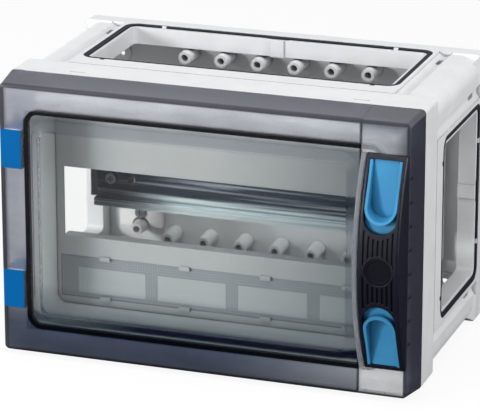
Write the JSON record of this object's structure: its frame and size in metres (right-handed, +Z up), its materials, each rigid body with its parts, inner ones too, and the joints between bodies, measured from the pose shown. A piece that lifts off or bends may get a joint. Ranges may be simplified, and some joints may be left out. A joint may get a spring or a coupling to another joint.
{
  "type": "electrical enclosure",
  "caption": "Wall-mounted plastic electrical enclosure with gasketed wall openings, a device rail behind a slotted cover, and a hinged smoked-clear door with a pinch latch.",
  "frame": {"origin": "middle of the underside of the whole part, door closed", "axes": "+X to the right across the front, +Y towards the wall behind, +Z up"},
  "size_m": [0.27, 0.184, 0.18],
  "materials": {
    "base_grey": "fine moulded texture, light grey",
    "seal_black": "soft black gasket",
    "cover_grey": "satin light grey",
    "label_white": "white card with grey ruled fields",
    "label_clear": "clear strip",
    "rail_steel": "bright zinc-plated sheet",
    "bracket_white": "moulded off-white",
    "screw_steel": "zinc plated",
    "pin_steel": "drawn steel",
    "smoke_clear": "smoked transparent moulding, glossy",
    "hinge_blue": "blue moulded plastic, satin",
    "grip_dark": "blue-black soft-touch plastic",
    "slide_blue": "bright blue moulded plastic, satin"
  },
  "bodies": {
    "base": {"base_box": "base_grey", "wall_seal_top": "seal_black", "wall_seal_bottom": "seal_black", "wall_seal_left": "seal_black", "wall_seal_right": "seal_black", "inner_cover": "cover_grey", "label_strip": "label_white", "label_cover": "label_clear", "din_rail": "rail_steel", "rail_bracket_left": "bracket_white", "rail_bracket_right": "bracket_white", "rail_screws": "screw_steel", "bracket_screws": "screw_steel", "hinge_pin_upper": "pin_steel", "hinge_pin_lower": "pin_steel"},
    "door": {"door_window": "smoke_clear", "latch_strip": "smoke_clear", "door_seal": "seal_black", "hinge_block_upper": "hinge_blue", "hinge_block_lower": "hinge_blue", "latch_grip": "grip_dark", "lock_plug": "grip_dark"},
    "latch_upper": {"latch_slide_upper": "slide_blue"},
    "latch_lower": {"latch_slide_lower": "slide_blue"}
  },
  "joints": [
    {"name": "door_hinge", "type": "hinge", "parent": "base", "child": "door", "pos_m": [-0.13, -0.054, 0.09], "axis": [0, 0, -1], "range_deg": [0, 110]},
    {"name": "latch_upper_slide", "type": "slide", "parent": "door", "child": "latch_upper", "axis": [0, 0, -1], "range_m": [0, 0.005], "stiffness_N_per_m": 300, "springref_m": -0.004},
    {"name": "latch_lower_slide", "type": "slide", "parent": "door", "child": "latch_lower", "axis": [0, 0, 1], "range_m": [0, 0.005], "stiffness_N_per_m": 300, "springref_m": -0.004}
  ]
}
